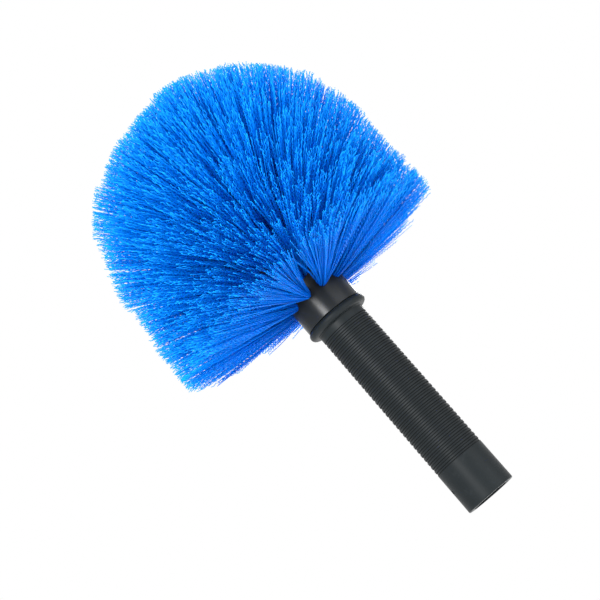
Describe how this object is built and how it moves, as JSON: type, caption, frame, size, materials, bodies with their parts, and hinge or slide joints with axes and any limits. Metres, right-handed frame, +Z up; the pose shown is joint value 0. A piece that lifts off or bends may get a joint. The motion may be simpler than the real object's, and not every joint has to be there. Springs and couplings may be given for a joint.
{
  "type": "cobweb brush head",
  "caption": "Domed cobweb brush head: crimped blue bristles stapled into a black drilled block, on a dark ringed grip with a socket for a pole",
  "frame": {"origin": "centre of the socket mouth", "axes": "+Z runs up the grip to the crown of the brush, and the screw hole is on the -X side"},
  "size_m": [0.1838, 0.184, 0.305],
  "materials": {
    "grip": "moulded charcoal plastic, semi-matte",
    "block": "moulded black plastic with a soft sheen",
    "staples": "flat steel wire",
    "bristles": "crimped translucent blue filament"
  },
  "bodies": {
    "root": {"grip": "grip", "block": "block", "staples": "staples", "tuft_ring_1": "bristles", "tuft_ring_2": "bristles", "tuft_ring_3": "bristles", "tuft_ring_4": "bristles", "tuft_ring_5": "bristles", "tuft_ring_6": "bristles", "tuft_ring_7": "bristles", "tuft_ring_crown": "bristles", "tuft_crown": "bristles"}
  },
  "joints": []
}
